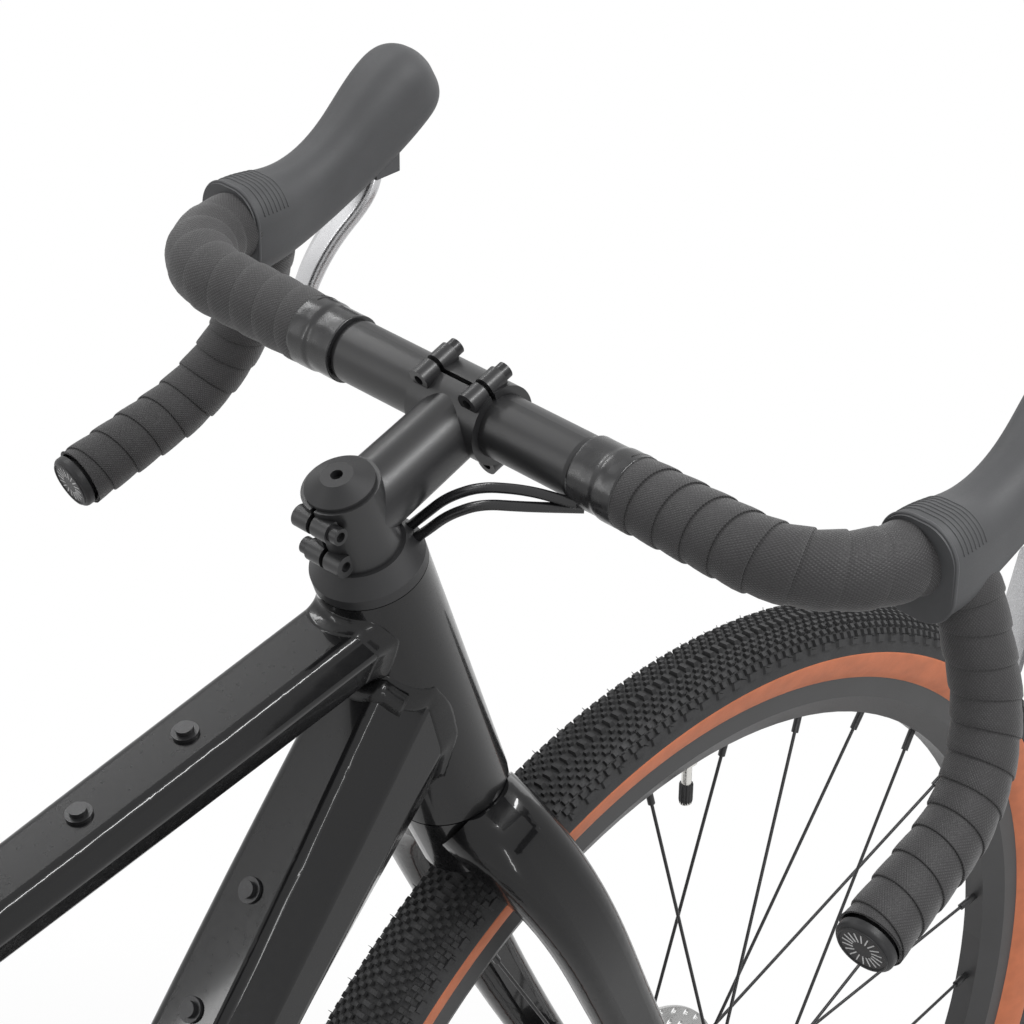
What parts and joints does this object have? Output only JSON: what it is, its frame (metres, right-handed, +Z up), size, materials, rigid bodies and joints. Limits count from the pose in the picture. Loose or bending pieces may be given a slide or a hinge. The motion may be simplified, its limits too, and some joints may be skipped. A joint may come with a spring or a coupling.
{
  "type": "bicycle",
  "caption": "Black gravel bike with drop bar, disc brakes, knobbed tan-wall tyres, single chainring and rear derailleur",
  "frame": {"origin": "On the ground midway between the wheels, in the middle plane.", "axes": "+X forward, +Y to the rider's left, +Z up."},
  "size_m": [1.759, 0.5818, 1.0422],
  "materials": {
    "frame_paint": "gloss black paint with satin weld bands",
    "fork_paint": "gloss black composite",
    "black_alloy": "matte black anodised",
    "bar_tape": "matte black cork-foam tape with a fine woven press",
    "hood_rubber": "matte dark grey rubber with fine ridges",
    "lever_grey": "silver grey, satin",
    "tyre_black": "black knobbed rubber with tan side walls",
    "rim_black": "matte dark grey anodised",
    "spoke_black": "black coated",
    "silver_steel": "silver, ground",
    "black_bolt": "black oxide",
    "hose_black": "gloss black",
    "trim_black": "moulded, satin black",
    "saddle_skin": "smooth matte black cover",
    "valve_silver": "nickel plated with a black cap"
  },
  "bodies": {
    "frame": {"head_tube": "frame_paint", "top_tube": "frame_paint", "down_tube": "frame_paint", "seat_tube": "frame_paint", "frame_boss_bolts": "black_bolt", "bottom_bracket_shell": "frame_paint", "frame_bearings": "silver_steel", "dropouts": "frame_paint", "chainstays": "frame_paint", "seatstays": "frame_paint", "rear_axle": "black_bolt", "seat_clamp": "black_alloy", "seatpost": "black_alloy", "saddle_rails": "silver_steel", "saddle_cover": "saddle_skin", "rear_caliper": "black_alloy", "chain": "silver_steel", "derailleur_body": "black_alloy"},
    "steering": {"fork": "fork_paint", "front_axle": "black_bolt", "headset_cover": "trim_black", "stem": "black_alloy", "stem_faceplate": "black_alloy", "stem_bolts": "black_bolt", "top_cap": "trim_black", "handlebar": "black_alloy", "left_bar_tape": "bar_tape", "right_bar_tape": "bar_tape", "bar_end_plugs": "trim_black", "left_hood": "hood_rubber", "right_hood": "hood_rubber", "control_hoses": "hose_black", "front_caliper": "black_alloy"},
    "left_lever": {"left_brake_lever": "lever_grey"},
    "right_lever": {"right_brake_lever": "lever_grey"},
    "shift_paddle": {"right_shift_paddle": "lever_grey"},
    "front_wheel": {"front_tyre": "tyre_black", "front_rim": "rim_black", "front_spokes": "spoke_black", "front_valve": "valve_silver", "front_hub": "black_alloy", "front_rotor": "silver_steel"},
    "rear_wheel": {"rear_tyre": "tyre_black", "rear_rim": "rim_black", "rear_spokes": "spoke_black", "rear_valve": "valve_silver", "rear_hub": "black_alloy", "rear_rotor": "silver_steel"},
    "sprockets": {"cassette": "silver_steel"},
    "cranks": {"right_crank": "black_alloy", "left_crank": "black_alloy", "chainring": "black_alloy"},
    "right_pedal_body": {"right_pedal": "black_alloy"},
    "left_pedal_body": {"left_pedal": "black_alloy"},
    "outer_link": {"derailleur_outer_link": "black_alloy"},
    "inner_link": {"derailleur_inner_link": "black_alloy"},
    "knuckle": {"derailleur_knuckle": "black_alloy"},
    "cage": {"derailleur_cage": "black_alloy"},
    "guide_wheel": {"guide_pulley": "trim_black"},
    "tension_wheel": {"tension_pulley": "trim_black"}
  },
  "joints": [
    {"name": "steer", "type": "hinge", "parent": "frame", "child": "steering", "pos_m": [0.34129, 0, 0.72737], "axis": [-0.3256, 0, 0.9455], "range_deg": [-60, 60]},
    {"name": "front_spin", "type": "hinge", "parent": "steering", "child": "front_wheel", "pos_m": [0.5245, 0, 0.355], "axis": [0, 1, 0], "continuous": true},
    {"name": "rear_spin", "type": "hinge", "parent": "frame", "child": "rear_wheel", "pos_m": [-0.5245, 0, 0.355], "axis": [0, 1, 0], "continuous": true},
    {"name": "left_brake", "type": "hinge", "parent": "steering", "child": "left_lever", "pos_m": [0.50609, 0.228, 0.9349], "axis": [0, 1, 0], "range_deg": [0, 8], "stiffness_Nm_per_rad": 3, "springref_deg": -8.59},
    {"name": "right_brake", "type": "hinge", "parent": "steering", "child": "right_lever", "pos_m": [0.50609, -0.228, 0.9349], "axis": [0, 1, 0], "range_deg": [0, 8], "stiffness_Nm_per_rad": 3, "springref_deg": -8.59},
    {"name": "shift", "type": "hinge", "parent": "right_lever", "child": "shift_paddle", "pos_m": [0.49073, -0.23824, 0.8965], "axis": [0.9514, 0, -0.3078], "range_deg": [0, 15], "stiffness_Nm_per_rad": 0.6, "springref_deg": -11.46},
    {"name": "crank_spin", "type": "hinge", "parent": "frame", "child": "cranks", "pos_m": [-0.1053, 0, 0.285], "axis": [0, 1, 0], "continuous": true, "deforming": ["chain"]},
    {"name": "sprocket_spin", "type": "hinge", "parent": "frame", "child": "sprockets", "pos_m": [-0.5245, 0, 0.355], "axis": [0, 1, 0], "continuous": true},
    {"name": "right_pedal_spin", "type": "hinge", "parent": "cranks", "child": "right_pedal_body", "pos_m": [0.0672, -0.064, 0.285], "axis": [0, 1, 0], "continuous": true},
    {"name": "left_pedal_spin", "type": "hinge", "parent": "cranks", "child": "left_pedal_body", "pos_m": [-0.2778, 0.064, 0.285], "axis": [0, 1, 0], "continuous": true},
    {"name": "derailleur_swing", "type": "hinge", "parent": "frame", "child": "outer_link", "pos_m": [-0.5385, -0.08401, 0.29301], "axis": [0, 0.7071, 0.7071], "range_deg": [-40, 42], "deforming": ["chain"]},
    {"name": "inner_link_swing", "type": "hinge", "parent": "frame", "child": "inner_link", "pos_m": [-0.5385, -0.07199, 0.28099], "axis": [0, 0.7071, 0.7071], "range_deg": [-40, 42]},
    {"name": "knuckle_swing", "type": "hinge", "parent": "outer_link", "child": "knuckle", "pos_m": [-0.5005, -0.08401, 0.29301], "axis": [0, 0.7071, 0.7071], "range_deg": [-42, 40], "deforming": ["chain"]},
    {"name": "cage_swing", "type": "hinge", "parent": "knuckle", "child": "cage", "pos_m": [-0.5005, -0.048, 0.239], "axis": [0, 1, 0], "range_deg": [-24, 20], "stiffness_Nm_per_rad": 1.2, "deforming": ["chain"]},
    {"name": "guide_spin", "type": "hinge", "parent": "cage", "child": "guide_wheel", "pos_m": [-0.50415, -0.048, 0.25252], "axis": [0, 1, 0], "continuous": true},
    {"name": "tension_spin", "type": "hinge", "parent": "cage", "child": "tension_wheel", "pos_m": [-0.48123, -0.048, 0.16755], "axis": [0, 1, 0], "continuous": true}
  ],
  "couplings": [
    {"joint": "sprocket_spin", "follows": "crank_spin", "ratio": 1.9048},
    {"joint": "guide_spin", "follows": "crank_spin", "ratio": -3.3333},
    {"joint": "tension_spin", "follows": "crank_spin", "ratio": 2.8571},
    {"joint": "inner_link_swing", "follows": "derailleur_swing", "ratio": 1},
    {"joint": "knuckle_swing", "follows": "derailleur_swing", "ratio": -1}
  ]
}
